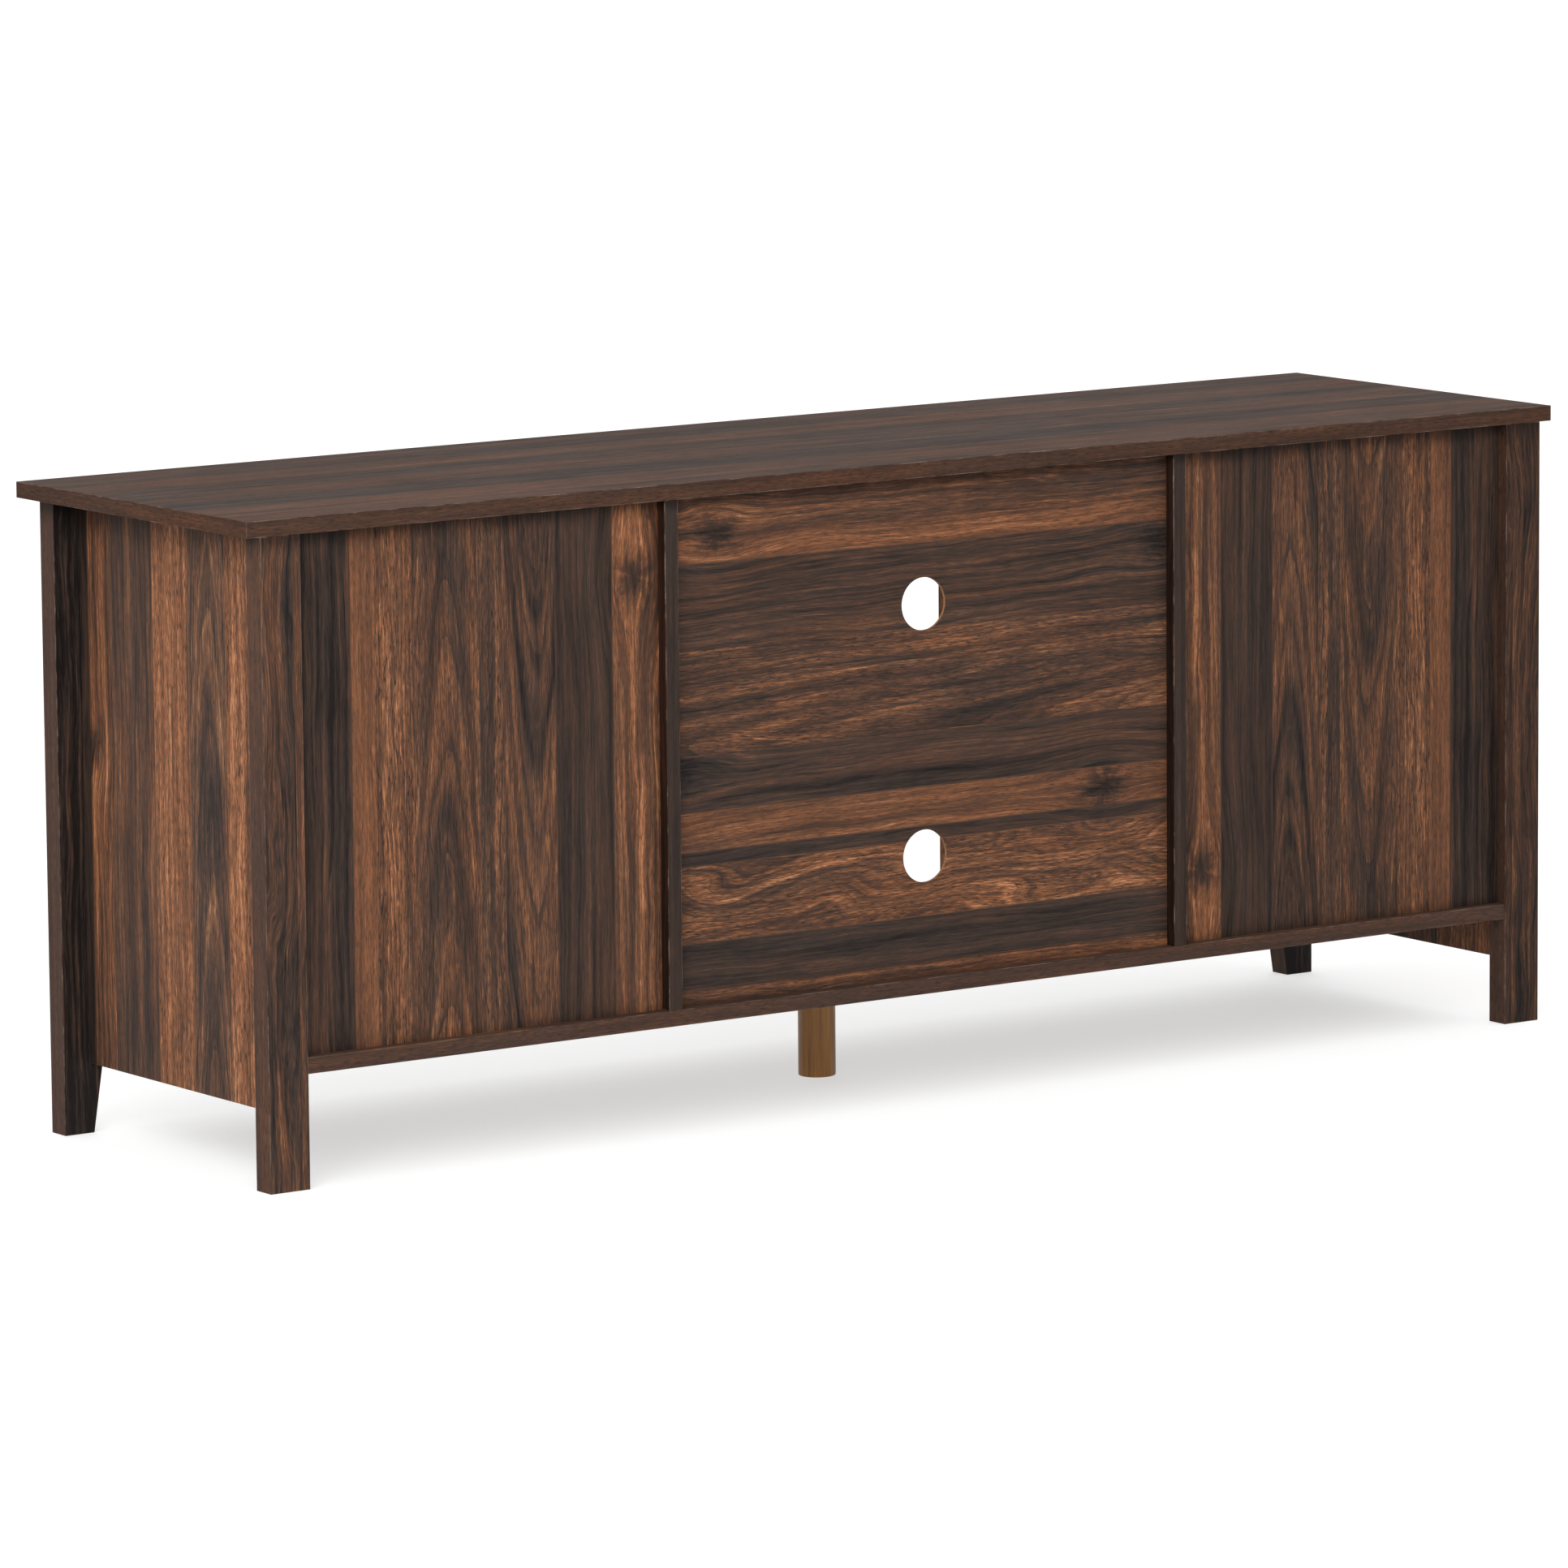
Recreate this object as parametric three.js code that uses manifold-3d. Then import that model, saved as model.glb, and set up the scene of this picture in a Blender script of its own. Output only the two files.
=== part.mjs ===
// A low television stand on four flat corner legs and one round middle leg. Two side cabinets
// have inset hinged doors at the front, and the bay between them is open, with one fixed shelf.
// Millimetres, +Z up, +X to the right of someone who faces the doors, and the back towards +Y.
import * as THREE from "three";
import { mergeVertices } from "three/addons/utils/BufferGeometryUtils.js";
import Module from "manifold-3d";

const wasm = await Module();
wasm.setup();

// ---- Driving dimensions ----

// Top and overall size.
const topLength = 1500;
const topDepth = 400;
const overallHeight = 608;
const topThickness = 15;
const endOverhang = 14;
const frontOverhang = 18;

// Boards of the carcass.
const panelThickness = 15;
const doorThickness = 15;
const sidePanelFloorGap = 66;
const bottomPanelFloorGap = 105;
const partitionSpacing = 586;
const boardEdgeInset = 1;

// Flat corner legs. The front pair narrows towards the floor along its inner edge.
const legWidth = 42;
const legThickness = 24;
const legToeWidth = 31.5;

// Round middle leg and the bolt that holds it.
const centreLegDiameter = 36;
const boltDiameter = 8;
const boltInLeg = 28;
const boltInPanel = 11;

// Thin back panels in grooves, and the cable holes in the middle one.
const backPanelThickness = 3;
const backRecess = 13;
const grooveDepth = 5;
const cableHoleDiameter = 50;
const lowerCableHoleRise = 114;
const upperCableHoleDrop = 120.5;

// Shelves, and the pins under the two that can be moved.
const shelfRise = 226;
const centreShelfSetback = 5;
const looseShelfSetback = 12;
const shelfBackClearance = 1;
const shelfEndClearance = 1;
const pinDiameter = 5;
const pinInPanel = 8;
const pinUnderShelf = 9;
const pinCollarDiameter = 8;
const pinCollarThickness = 1.2;
const pinBoreDepth = 9;
const pinFromShelfEdge = 40;
const pinHoleStep = 64;

// Doors, their hinges, handles and catches.
const doorGap = 2;
const leafThickness = 1;
const leafSlack = 0.4;
const leafWidth = 13;
const leafHeight = 40;
const knuckleDiameter = 5.2;
const knuckleStandOff = 0.4;
const knuckleGap = 0.3;
const hingePinDiameter = 2.4;
const hingePinHeadDiameter = 4.2;
const hingePinHeadThickness = 0.8;
const hingeInset = 70;
const handleReach = 26;
const handleLength = 136;
const handleBarDiameter = 10;
const handlePostDiameter = 9;
const handlePostSpacing = 96;
const handleInset = 38;
const screwDiameter = 4;
const screwHeadDiameter = 8;
const screwHeadThickness = 2.2;
const screwInHandle = 8;
const screwTipRoom = 1.5;
const catchWidth = 40;
const catchHeight = 14;
const catchDepth = 16;
const catchInset = 60;
const catchGap = 0.3;
const strikeWidth = 30;
const strikeHeight = 9;
const strikeThickness = 1.2;

// Clearances between a piece and what it was cut for.
const cutClearance = 0.3;
const hingePinClearance = 0.1;

// Facets of the round shapes.
const largeSides = 48;
const smallSides = 24;
const boreSides = 12;

// ---- Places worked out from them ----

const topUnderside = overallHeight - topThickness;
const topFrontY = -topDepth / 2;
const backY = topDepth / 2;
const legFrontY = topFrontY + frontOverhang;
const legOuterX = topLength / 2 - endOverhang;
const legInnerX = legOuterX - legWidth;
const boardFrontY = legFrontY + boardEdgeInset;
const boardBackY = backY - boardEdgeInset;
const bottomTop = bottomPanelFloorGap + panelThickness;
const partitionX = partitionSpacing / 2;
const partitionOuterX = partitionX + panelThickness / 2;
const partitionInnerX = partitionX - panelThickness / 2;
const backPanelBackY = backY - backRecess;
const backPanelFrontY = backPanelBackY - backPanelThickness;
const shelfUnderside = bottomTop + shelfRise;
const shelfTop = shelfUnderside + panelThickness;
const shelfBackY = backPanelFrontY - shelfBackClearance;
const doorFrontY = legFrontY;
const doorBackY = doorFrontY + doorThickness;
const looseShelfFrontY = doorBackY + looseShelfSetback;
const pinZ = shelfUnderside - pinDiameter / 2;
const doorHingeX = legInnerX - 2 * leafThickness - leafSlack;
const doorFreeX = partitionOuterX + doorGap;
const doorBottom = bottomTop + doorGap;
const doorTop = topUnderside - doorGap;
const hingeX = (legInnerX + doorHingeX) / 2;
const hingeY = doorFrontY - knuckleDiameter / 2 - knuckleStandOff;
const handleX = doorFreeX + handleInset;
const handleZ = (doorBottom + doorTop) / 2;
const handleBarY = doorFrontY - handleReach + handleBarDiameter / 2;
const catchX = doorFreeX + catchInset;
const catchFrontY = doorBackY + strikeThickness + catchGap;
const middleY = (legFrontY + backY) / 2;

// ---- Materials ----

const paint = (color, roughness, metalness) =>
  new THREE.MeshStandardMaterial({ color, roughness, metalness });
const darkBoard = paint(0x4a3427, 0.5, 0);
const darkLeg = paint(0x43301f, 0.5, 0);
const thinBoard = paint(0x5a3f2e, 0.6, 0);
const goldenWood = paint(0xa8743a, 0.45, 0);
const blackMetal = paint(0x1a1a1a, 0.45, 1);
const brightSteel = paint(0xb9babb, 0.35, 1);
const catchPlastic = paint(0x2b2724, 0.6, 0);

// ---- Shapes ----

// A closed three.js geometry as a manifold-3d solid.
function asSolid(geometry) {
  const bare = geometry.index ? geometry.toNonIndexed() : geometry.clone();
  bare.deleteAttribute("normal");
  bare.deleteAttribute("uv");
  const merged = mergeVertices(bare, 1e-4);
  return new wasm.Manifold(
    new wasm.Mesh({
      numProp: 3,
      vertProperties: merged.attributes.position.array,
      triVerts: new Uint32Array(merged.index.array),
    }),
  );
}

// A manifold-3d solid as a three.js geometry.
function asGeometry(solid) {
  const mesh = solid.getMesh();
  const geometry = new THREE.BufferGeometry();
  geometry.setAttribute("position", new THREE.BufferAttribute(mesh.vertProperties, 3));
  geometry.setIndex(new THREE.BufferAttribute(mesh.triVerts, 1));
  geometry.computeVertexNormals();
  return geometry;
}

const carve = (blank, cutters) =>
  asGeometry(cutters.reduce((left, cutter) => left.subtract(asSolid(cutter)), asSolid(blank)));
const fuse = (shapes) =>
  asGeometry(shapes.slice(1).reduce((all, shape) => all.add(asSolid(shape)), asSolid(shapes[0])));

// A box between two corners, with each pair of limits given in either order.
function block([xa, xb], [ya, yb], [za, zb]) {
  const box = new THREE.BoxGeometry(Math.abs(xb - xa), Math.abs(yb - ya), Math.abs(zb - za));
  return box.translate((xa + xb) / 2, (ya + yb) / 2, (za + zb) / 2);
}

// Round rods between two heights, two depths or two widths.
function rodZ(diameter, x, y, [za, zb], sides) {
  const rod = new THREE.CylinderGeometry(diameter / 2, diameter / 2, Math.abs(zb - za), sides);
  return rod.rotateX(Math.PI / 2).translate(x, y, (za + zb) / 2);
}
function rodY(diameter, x, z, [ya, yb], sides) {
  const rod = new THREE.CylinderGeometry(diameter / 2, diameter / 2, Math.abs(yb - ya), sides);
  return rod.translate(x, (ya + yb) / 2, z);
}
function rodX(diameter, y, z, [xa, xb], sides) {
  const rod = new THREE.CylinderGeometry(diameter / 2, diameter / 2, Math.abs(xb - xa), sides);
  return rod.rotateZ(Math.PI / 2).translate((xa + xb) / 2, y, z);
}

// The whole stand. It is moved in Y at the end, so that the origin is the middle of its footprint.
const stand = new THREE.Group();
function add(name, geometry, material) {
  const mesh = new THREE.Mesh(geometry, material);
  mesh.name = name;
  stand.add(mesh);
}

const sides = [
  { name: "left", sign: -1 },
  { name: "right", sign: 1 },
];
const mirrored = (sign, limits) => limits.map((x) => sign * x);

// ---- Grooves for the back panels ----

// A groove touches the front face of its panel and is a clearance wider behind it.
const grooveY = [backPanelFrontY, backPanelBackY + cutClearance];
const cutPast = 1;

// The groove in the top ends in line with the grooves in the back legs.
function topGroove() {
  const reach = legInnerX + grooveDepth;
  return block([-reach, reach], grooveY, [topUnderside - cutPast, topUnderside + grooveDepth]);
}
function uprightGroove(xLimits) {
  return block(xLimits, grooveY, [bottomTop - grooveDepth, topUnderside + cutPast]);
}

// ---- Top, bottom and uprights ----

function topPanel() {
  const blank = block([-topLength / 2, topLength / 2], [topFrontY, backY], [topUnderside, overallHeight]);
  return carve(blank, [topGroove()]);
}

function bottomPanel() {
  const blank = block(
    [-legInnerX, legInnerX],
    [boardFrontY, boardBackY],
    [bottomPanelFloorGap, bottomTop],
  );
  const boltBore = rodZ(
    boltDiameter + 2 * cutClearance,
    0,
    middleY,
    [bottomPanelFloorGap - cutPast, bottomPanelFloorGap + boltInPanel],
    smallSides,
  );
  const grooves = [
    [-legInnerX - cutPast, -partitionOuterX + grooveDepth],
    [-partitionInnerX - grooveDepth, partitionInnerX + grooveDepth],
    [partitionOuterX - grooveDepth, legInnerX + cutPast],
  ].map((xLimits) => block(xLimits, grooveY, [bottomTop - grooveDepth, bottomTop + cutPast]));
  return carve(blank, [...grooves, boltBore]);
}

// Blind bores for the shelf pins, three heights in two columns, from the face at x into the board.
const pinColumnsY = [looseShelfFrontY + pinFromShelfEdge, shelfBackY - pinFromShelfEdge];
const pinHeights = [pinZ - pinHoleStep, pinZ, pinZ + pinHoleStep];
function pinBores(faceX, direction) {
  const xLimits = [faceX - direction * cutPast, faceX + direction * pinBoreDepth];
  return pinColumnsY.flatMap((y) =>
    pinHeights.map((z) => rodX(pinDiameter + 2 * cutClearance, y, z, xLimits, boreSides)),
  );
}

function partition(sign) {
  const blank = block(
    mirrored(sign, [partitionInnerX, partitionOuterX]),
    [boardFrontY, boardBackY],
    [bottomTop, topUnderside],
  );
  const innerGroove = uprightGroove(
    mirrored(sign, [partitionInnerX - cutPast, partitionInnerX + grooveDepth]),
  );
  const outerGroove = uprightGroove(
    mirrored(sign, [partitionOuterX - grooveDepth, partitionOuterX + cutPast]),
  );
  return carve(blank, [innerGroove, outerGroove, ...pinBores(sign * partitionOuterX, -sign)]);
}

function sidePanel(sign) {
  const blank = block(
    mirrored(sign, [legInnerX, legInnerX + panelThickness]),
    [legFrontY + legThickness, backY - legThickness],
    [sidePanelFloorGap, topUnderside],
  );
  return carve(blank, pinBores(sign * legInnerX, sign));
}

// ---- Legs ----

function backLeg(sign) {
  const blank = block(
    mirrored(sign, [legInnerX, legOuterX]),
    [backY - legThickness, backY],
    [0, topUnderside],
  );
  return carve(blank, [
    uprightGroove(mirrored(sign, [legInnerX - cutPast, legInnerX + grooveDepth])),
  ]);
}

// The outline is drawn across the leg's width and height, then given its thickness in Y.
function frontLeg(sign) {
  const outline = new THREE.Shape();
  outline.moveTo(legOuterX, 0);
  outline.lineTo(legOuterX, topUnderside);
  outline.lineTo(legInnerX, topUnderside);
  outline.lineTo(legInnerX, sidePanelFloorGap);
  outline.lineTo(legOuterX - legToeWidth, 0);
  outline.closePath();
  const blank = new THREE.ExtrudeGeometry(outline, { depth: legThickness, bevelEnabled: false });
  const upright = asSolid(blank.rotateX(Math.PI / 2).translate(0, legFrontY + legThickness, 0));
  return asGeometry(sign > 0 ? upright : upright.mirror([1, 0, 0]));
}

function centreLeg() {
  const blank = rodZ(centreLegDiameter, 0, middleY, [0, bottomPanelFloorGap], largeSides);
  const bore = rodZ(
    boltDiameter + 2 * cutClearance,
    0,
    middleY,
    [bottomPanelFloorGap - boltInLeg, bottomPanelFloorGap + cutPast],
    smallSides,
  );
  return carve(blank, [bore]);
}

// A double-ended bolt that fills both bores from end to end.
const centreLegBolt = () =>
  rodZ(
    boltDiameter,
    0,
    middleY,
    [bottomPanelFloorGap - boltInLeg, bottomPanelFloorGap + boltInPanel],
    smallSides,
  );

// ---- Back panels ----

const tongue = grooveDepth - cutClearance;
const backPanelZ = [bottomTop - grooveDepth, topUnderside + tongue];
const backPanelY = [backPanelFrontY, backPanelBackY];

function centreBackPanel() {
  const reach = partitionInnerX + tongue;
  const blank = block([-reach, reach], backPanelY, backPanelZ);
  const holes = [bottomTop + lowerCableHoleRise, topUnderside - upperCableHoleDrop].map((z) =>
    rodY(cableHoleDiameter, 0, z, [backPanelFrontY - cutPast, backPanelBackY + cutPast], largeSides),
  );
  return carve(blank, holes);
}

const sideBackPanel = (sign) =>
  block(mirrored(sign, [partitionOuterX - tongue, legInnerX + tongue]), backPanelY, backPanelZ);

// ---- Shelves and shelf pins ----

const shelfZ = [shelfUnderside, shelfTop];
const centreShelf = () =>
  block([-partitionInnerX, partitionInnerX], [boardFrontY + centreShelfSetback, shelfBackY], shelfZ);
const looseShelf = (sign) =>
  block(
    mirrored(sign, [partitionOuterX + shelfEndClearance, legInnerX - shelfEndClearance]),
    [looseShelfFrontY, shelfBackY],
    shelfZ,
  );

// A pin sits in its bore, its collar rests on the board, and its round peg carries the shelf.
function shelfPin(faceX, direction, y) {
  const peg = [faceX + direction * pinInPanel, faceX - direction * pinUnderShelf];
  const collar = [faceX, faceX - direction * pinCollarThickness];
  const round = fuse([
    rodX(pinDiameter, y, pinZ, peg, smallSides),
    rodX(pinCollarDiameter, y, pinZ, collar, smallSides),
  ]);
  // The collar is trimmed level with the top of the peg, so that the shelf lies on both.
  const above = block(
    collar,
    [y - pinCollarDiameter, y + pinCollarDiameter],
    [shelfUnderside, shelfUnderside + pinCollarDiameter],
  );
  return carve(round, [above]);
}

// ---- Doors ----

const handlePostHeights = [handleZ - handlePostSpacing / 2, handleZ + handlePostSpacing / 2];

function door(sign) {
  const blank = block(
    mirrored(sign, [doorFreeX, doorHingeX]),
    [doorFrontY, doorBackY],
    [doorBottom, doorTop],
  );
  const screwHoles = handlePostHeights.map((z) =>
    rodY(
      screwDiameter + 2 * cutClearance,
      sign * handleX,
      z,
      [doorFrontY - cutPast, doorBackY + cutPast],
      boreSides,
    ),
  );
  return carve(blank, screwHoles);
}

// A round bar on two posts, bored from the door side for its screws.
function handle(sign) {
  const x = sign * handleX;
  const bar = rodZ(
    handleBarDiameter,
    x,
    handleBarY,
    [handleZ - handleLength / 2, handleZ + handleLength / 2],
    smallSides,
  );
  const posts = handlePostHeights.map((z) =>
    rodY(handlePostDiameter, x, z, [handleBarY, doorFrontY], smallSides),
  );
  const bores = handlePostHeights.map((z) =>
    rodY(
      screwDiameter + 2 * cutClearance,
      x,
      z,
      [doorFrontY - screwInHandle - screwTipRoom, doorFrontY + cutPast],
      boreSides,
    ),
  );
  return carve(fuse([bar, ...posts]), bores);
}

function handleScrew(sign, z) {
  const x = sign * handleX;
  return fuse([
    rodY(screwDiameter, x, z, [doorFrontY - screwInHandle, doorBackY + screwHeadThickness], boreSides),
    rodY(screwHeadDiameter, x, z, [doorBackY, doorBackY + screwHeadThickness], smallSides),
  ]);
}

// ---- Hinges ----

const hingeHeights = { lower: doorBottom + hingeInset, upper: doorTop - hingeInset };
const knuckleLength = (leafHeight - 2 * knuckleGap) / 3;

// The height limits of one of the three knuckles, counted from the bottom, on a hinge centred at z.
function knuckleZ(z, index) {
  const low = z - leafHeight / 2 + index * (knuckleLength + knuckleGap);
  return [low, low + knuckleLength];
}

// A leaf is a plate against the wood, with a tab out to each of its own knuckles.
function hingeLeaf(sign, z, plateX, knuckles) {
  const plate = block(
    mirrored(sign, plateX),
    [doorFrontY, doorFrontY + leafWidth],
    [z - leafHeight / 2, z + leafHeight / 2],
  );
  const tabs = knuckles.map((index) =>
    block(mirrored(sign, plateX), [hingeY, doorFrontY + leafThickness], knuckleZ(z, index)),
  );
  const barrels = knuckles.map((index) =>
    rodZ(knuckleDiameter, sign * hingeX, hingeY, knuckleZ(z, index), smallSides),
  );
  const bore = rodZ(
    hingePinDiameter + 2 * hingePinClearance,
    sign * hingeX,
    hingeY,
    [z - leafHeight, z + leafHeight],
    smallSides,
  );
  return carve(fuse([plate, ...tabs, ...barrels]), [bore]);
}

const frameLeaf = (sign, z) => hingeLeaf(sign, z, [legInnerX - leafThickness, legInnerX], [0, 2]);
const doorLeaf = (sign, z) => hingeLeaf(sign, z, [doorHingeX, doorHingeX + leafThickness], [1]);

// The pin hangs by its head on the top knuckle.
function hingePin(sign, z) {
  const x = sign * hingeX;
  const high = z + leafHeight / 2;
  return fuse([
    rodZ(hingePinDiameter, x, hingeY, [z - leafHeight / 2, high + hingePinHeadThickness], smallSides),
    rodZ(hingePinHeadDiameter, x, hingeY, [high, high + hingePinHeadThickness], smallSides),
  ]);
}

// ---- Magnetic catches ----

const magnetCatch = (sign) =>
  block(
    mirrored(sign, [catchX - catchWidth / 2, catchX + catchWidth / 2]),
    [catchFrontY, catchFrontY + catchDepth],
    [topUnderside - catchHeight, topUnderside],
  );

function strikePlate(sign) {
  const z = topUnderside - catchHeight / 2;
  return block(
    mirrored(sign, [catchX - strikeWidth / 2, catchX + strikeWidth / 2]),
    [doorBackY, doorBackY + strikeThickness],
    [z - strikeHeight / 2, z + strikeHeight / 2],
  );
}

// ---- Assembly ----

add("top_panel", topPanel(), darkBoard);
add("bottom_panel", bottomPanel(), darkBoard);
add("centre_shelf", centreShelf(), darkBoard);
add("back_panel_centre", centreBackPanel(), thinBoard);
add("centre_leg", centreLeg(), goldenWood);
add("centre_leg_bolt", centreLegBolt(), brightSteel);

for (const { name, sign } of sides) {
  add(`side_panel_${name}`, sidePanel(sign), darkBoard);
  add(`partition_${name}`, partition(sign), darkBoard);
  add(`back_panel_${name}`, sideBackPanel(sign), thinBoard);
  add(`leg_front_${name}`, frontLeg(sign), darkLeg);
  add(`leg_back_${name}`, backLeg(sign), darkLeg);
  add(`shelf_${name}`, looseShelf(sign), darkBoard);
  pinColumnsY.forEach((y, column) => {
    const place = ["front", "back"][column];
    add(`shelf_pin_${name}_${place}_inner`, shelfPin(sign * partitionOuterX, -sign, y), brightSteel);
    add(`shelf_pin_${name}_${place}_outer`, shelfPin(sign * legInnerX, sign, y), brightSteel);
  });
  add(`door_${name}`, door(sign), darkBoard);
  add(`handle_${name}`, handle(sign), blackMetal);
  handlePostHeights.forEach((z, end) => {
    add(`handle_screw_${name}_${["lower", "upper"][end]}`, handleScrew(sign, z), brightSteel);
  });
  for (const [place, z] of Object.entries(hingeHeights)) {
    add(`hinge_frame_leaf_${name}_${place}`, frameLeaf(sign, z), brightSteel);
    add(`hinge_door_leaf_${name}_${place}`, doorLeaf(sign, z), brightSteel);
    add(`hinge_pin_${name}_${place}`, hingePin(sign, z), brightSteel);
  }
  add(`magnet_catch_${name}`, magnetCatch(sign), catchPlastic);
  add(`strike_plate_${name}`, strikePlate(sign), brightSteel);
}

// The handles may stand further forward than the top does.
const frontmostY = Math.min(topFrontY, doorFrontY - handleReach);
stand.position.y = -(frontmostY + backY) / 2;

export default stand;
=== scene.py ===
"""Looks for a dark walnut-print television stand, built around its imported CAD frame.

Every board is the CAD node itself, with rounded arrises and a printed-laminate material whose
planks, streaks, arches, knots and pores are worked out from the board's own box. The hardware and
the round middle leg are finer meshes that stand for their CAD nodes. Metres, +Z up, back at +Y.
"""
import math

import bmesh
import bpy
from mathutils import Matrix, Vector


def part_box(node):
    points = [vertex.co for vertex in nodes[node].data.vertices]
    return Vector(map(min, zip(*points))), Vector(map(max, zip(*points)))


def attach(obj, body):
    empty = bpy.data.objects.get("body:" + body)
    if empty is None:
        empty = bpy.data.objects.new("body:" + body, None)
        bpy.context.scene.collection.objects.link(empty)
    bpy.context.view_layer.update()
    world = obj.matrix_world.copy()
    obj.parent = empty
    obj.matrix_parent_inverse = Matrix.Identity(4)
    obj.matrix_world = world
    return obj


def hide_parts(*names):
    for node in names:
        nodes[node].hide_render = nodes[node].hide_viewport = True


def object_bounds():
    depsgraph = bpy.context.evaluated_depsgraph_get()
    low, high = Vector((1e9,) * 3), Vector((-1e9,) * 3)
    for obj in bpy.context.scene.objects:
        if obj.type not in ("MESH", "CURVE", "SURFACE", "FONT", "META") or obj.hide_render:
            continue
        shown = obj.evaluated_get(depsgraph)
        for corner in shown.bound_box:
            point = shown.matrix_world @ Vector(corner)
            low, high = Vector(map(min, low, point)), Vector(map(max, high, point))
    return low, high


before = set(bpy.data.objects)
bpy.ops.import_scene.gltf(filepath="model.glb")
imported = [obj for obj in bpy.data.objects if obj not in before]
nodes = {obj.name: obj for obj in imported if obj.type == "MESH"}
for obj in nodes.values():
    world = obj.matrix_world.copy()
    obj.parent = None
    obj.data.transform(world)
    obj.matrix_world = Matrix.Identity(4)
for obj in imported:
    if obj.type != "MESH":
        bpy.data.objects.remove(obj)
cad_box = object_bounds()
scene = bpy.context.scene
MM = 0.001
SIDES = (("left", -1), ("right", 1))


# ---------------------------------------------------------------------------------------------
# Node arithmetic: a Wire is one output of a shader tree, and sums and products add Math nodes.
# ---------------------------------------------------------------------------------------------

class Wire:
    def __init__(self, tree, socket):
        self.tree = tree
        self.socket = socket

    def math(self, operation, *others):
        node = self.tree.nodes.new("ShaderNodeMath")
        node.operation = operation
        for slot, value in zip(node.inputs, (self, *others)):
            connect(self.tree, value, slot)
        return Wire(self.tree, node.outputs[0])

    def __add__(self, other):
        return self.math("ADD", other)

    def __sub__(self, other):
        return self.math("SUBTRACT", other)

    def __rsub__(self, other):
        return constant(self.tree, other).math("SUBTRACT", self)

    def __mul__(self, other):
        return self.math("MULTIPLY", other)

    def __truediv__(self, other):
        return self.math("DIVIDE", other)

    __radd__ = __add__
    __rmul__ = __mul__

    def least(self, other):
        return self.math("MINIMUM", other)

    def most(self, other):
        return self.math("MAXIMUM", other)

    def size(self):
        return self.math("ABSOLUTE")

    def over(self, limit):
        return self.math("GREATER_THAN", limit)

    def squared(self):
        return self * self

    def step(self, low, high):
        """A smooth rise from 0 at low to 1 at high, or a fall when low is above high."""
        node = self.tree.nodes.new("ShaderNodeMapRange")
        node.interpolation_type = "SMOOTHSTEP"
        connect(self.tree, self, node.inputs["Value"])
        falling = low > high
        node.inputs["From Min"].default_value = min(low, high)
        node.inputs["From Max"].default_value = max(low, high)
        node.inputs["To Min"].default_value = float(falling)
        node.inputs["To Max"].default_value = float(not falling)
        return Wire(self.tree, node.outputs["Result"])

    def choose(self, other, amount):
        """This value where amount is 0, and other where it is 1."""
        node = self.tree.nodes.new("ShaderNodeMix")
        connect(self.tree, amount, node.inputs[0])
        connect(self.tree, self, node.inputs[2])
        connect(self.tree, other, node.inputs[3])
        return Wire(self.tree, node.outputs[0])


def connect(tree, value, slot):
    if isinstance(value, Wire):
        tree.links.new(value.socket, slot)
    else:
        slot.default_value = value


def constant(tree, value):
    node = tree.nodes.new("ShaderNodeValue")
    node.outputs[0].default_value = value
    return Wire(tree, node.outputs[0])


def vector(tree, x, y, z):
    node = tree.nodes.new("ShaderNodeCombineXYZ")
    for slot, value in zip(node.inputs, (x, y, z)):
        connect(tree, value, slot)
    return Wire(tree, node.outputs[0])


def split(tree, socket):
    node = tree.nodes.new("ShaderNodeSeparateXYZ")
    tree.links.new(socket, node.inputs[0])
    return [Wire(tree, out) for out in node.outputs]


def noise(tree, place, scale=1.0, detail=2.0, roughness=0.5):
    node = tree.nodes.new("ShaderNodeTexNoise")
    tree.links.new(place.socket, node.inputs["Vector"])
    node.inputs["Scale"].default_value = scale
    node.inputs["Detail"].default_value = detail
    node.inputs["Roughness"].default_value = roughness
    return Wire(tree, node.outputs[0])


def ramp(tree, value, stops):
    """The colour at value on a ramp of (place, colour) stops, with its alpha as a second wire."""
    node = tree.nodes.new("ShaderNodeValToRGB")
    connect(tree, value, node.inputs[0])
    band = node.color_ramp
    while len(band.elements) < len(stops):
        band.elements.new(1.0)
    for element, (place, colour) in zip(band.elements, stops):
        element.position = place
        element.color = colour
    return Wire(tree, node.outputs[0]), Wire(tree, node.outputs[1])


def mix_colour(tree, first, second, amount, blend="MIX"):
    node = tree.nodes.new("ShaderNodeMix")
    node.data_type = "RGBA"
    node.blend_type = blend
    connect(tree, amount, node.inputs[0])
    connect(tree, first, node.inputs[6])
    connect(tree, second, node.inputs[7])
    return Wire(tree, node.outputs[2])


def darken(tree, colour, amount):
    """Takes a share of its light from a colour."""
    left = 1.0 - amount
    return mix_colour(tree, colour, vector(tree, left, left, left), 1.0, "MULTIPLY")


def split_colour(tree, wire):
    node = tree.nodes.new("ShaderNodeSeparateColor")
    tree.links.new(wire.socket, node.inputs[0])
    return [Wire(tree, out) for out in node.outputs]


def linear(red, green, blue):
    """A colour given as 0 to 255 display values, as the linear values that shaders take."""
    def one(value):
        share = value / 255
        return share / 12.92 if share <= 0.04045 else ((share + 0.055) / 1.055) ** 2.4
    return (one(red), one(green), one(blue), 1.0)


# ---------------------------------------------------------------------------------------------
# The walnut print: one shared node group.
# ---------------------------------------------------------------------------------------------

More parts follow.
